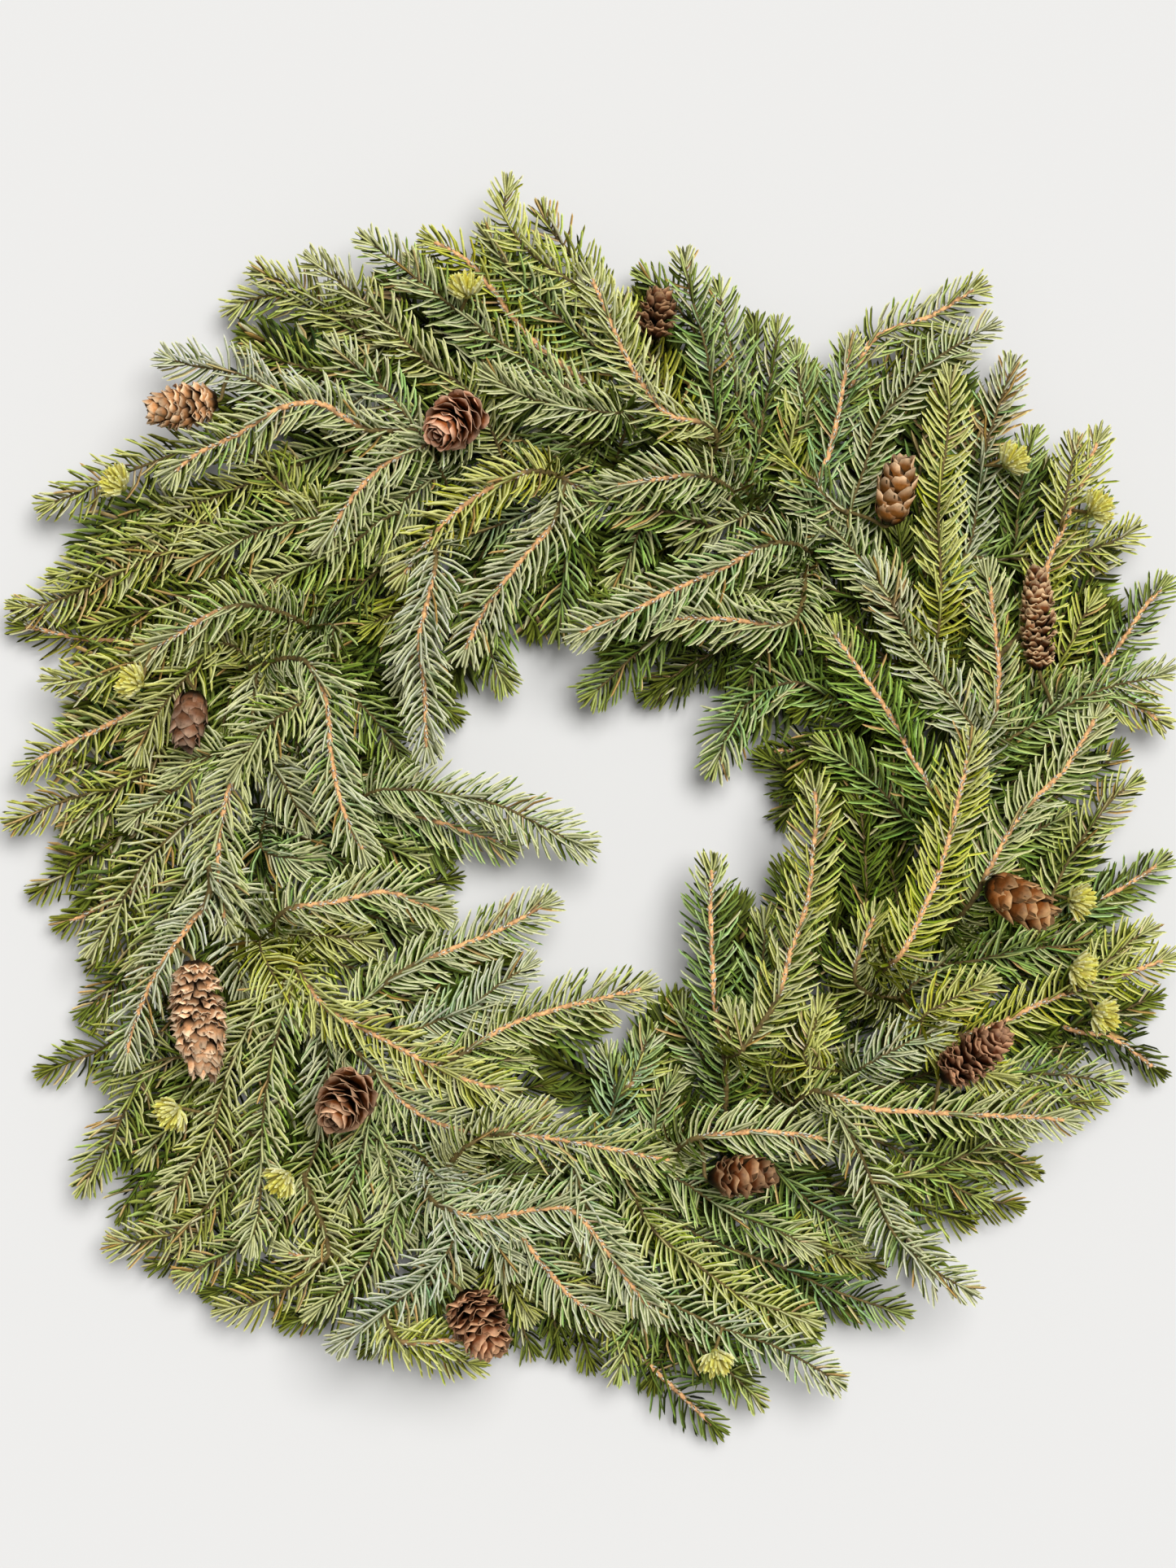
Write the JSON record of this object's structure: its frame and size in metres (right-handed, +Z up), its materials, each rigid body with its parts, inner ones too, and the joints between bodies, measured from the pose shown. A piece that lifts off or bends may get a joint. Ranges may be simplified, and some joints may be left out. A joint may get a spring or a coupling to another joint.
{
  "type": "spruce wreath",
  "caption": "White spruce wreath lying flat: a wire ring with needled spruce branches wound on, small brown cones and pale young bud tufts",
  "frame": {"origin": "middle of the wreath's bounding box, on the surface that it lies on", "axes": "+Z up from the surface, +Y to the top of the picture, +X to its right"},
  "size_m": [0.662, 0.711, 0.1089],
  "materials": {
    "needles_deep": "matte",
    "needles_green": "matte",
    "needles_blue": "matte",
    "needles_pale": "matte",
    "needles_olive": "matte",
    "needles_lime": "matte",
    "young_needles": "matte",
    "cone_scales": "matte",
    "green_wire": "satin"
  },
  "bodies": {
    "root": {"ring": "green_wire", "branch_top_1": "needles_deep", "branch_top_2": "needles_olive", "branch_top_3": "needles_deep", "branch_top_4": "needles_olive", "branch_top_5": "needles_green", "branch_inner_1": "needles_green", "branch_inner_2": "needles_green", "branch_inner_3": "needles_green", "branch_inner_4": "needles_pale", "branch_left_1": "needles_green", "branch_left_2": "needles_green", "branch_left_3": "needles_olive", "branch_left_4": "needles_green", "branch_left_5": "needles_green", "branch_left_6": "needles_olive", "branch_left_7": "needles_lime", "branch_left_8": "needles_lime", "branch_bottom_1": "needles_deep", "branch_bottom_2": "needles_green", "branch_bottom_3": "needles_blue", "branch_bottom_4": "needles_green", "branch_bottom_5": "needles_green", "branch_bottom_6": "needles_green", "branch_bottom_7": "needles_green", "branch_right_1": "needles_deep", "branch_right_2": "needles_green", "branch_right_3": "needles_blue", "branch_right_4": "needles_lime", "branch_right_5": "needles_olive", "branch_right_6": "needles_green", "branch_right_7": "needles_green", "branch_right_8": "needles_pale", "branch_right_9": "needles_green", "branch_right_10": "needles_lime", "branch_right_11": "needles_green", "branch_right_12": "needles_pale", "cone_1": "cone_scales", "cone_2": "cone_scales", "cone_3": "cone_scales", "cone_4": "cone_scales", "cone_5": "cone_scales", "cone_6": "cone_scales", "cone_7": "cone_scales", "cone_8": "cone_scales", "cone_9": "cone_scales", "cone_10": "cone_scales", "cone_11": "cone_scales", "cone_12": "cone_scales", "bud_1": "young_needles", "bud_2": "young_needles", "bud_3": "young_needles", "bud_4": "young_needles", "bud_5": "young_needles", "bud_6": "young_needles", "bud_7": "young_needles", "bud_8": "young_needles", "bud_9": "young_needles", "bud_10": "young_needles", "bud_11": "young_needles"}
  },
  "joints": []
}
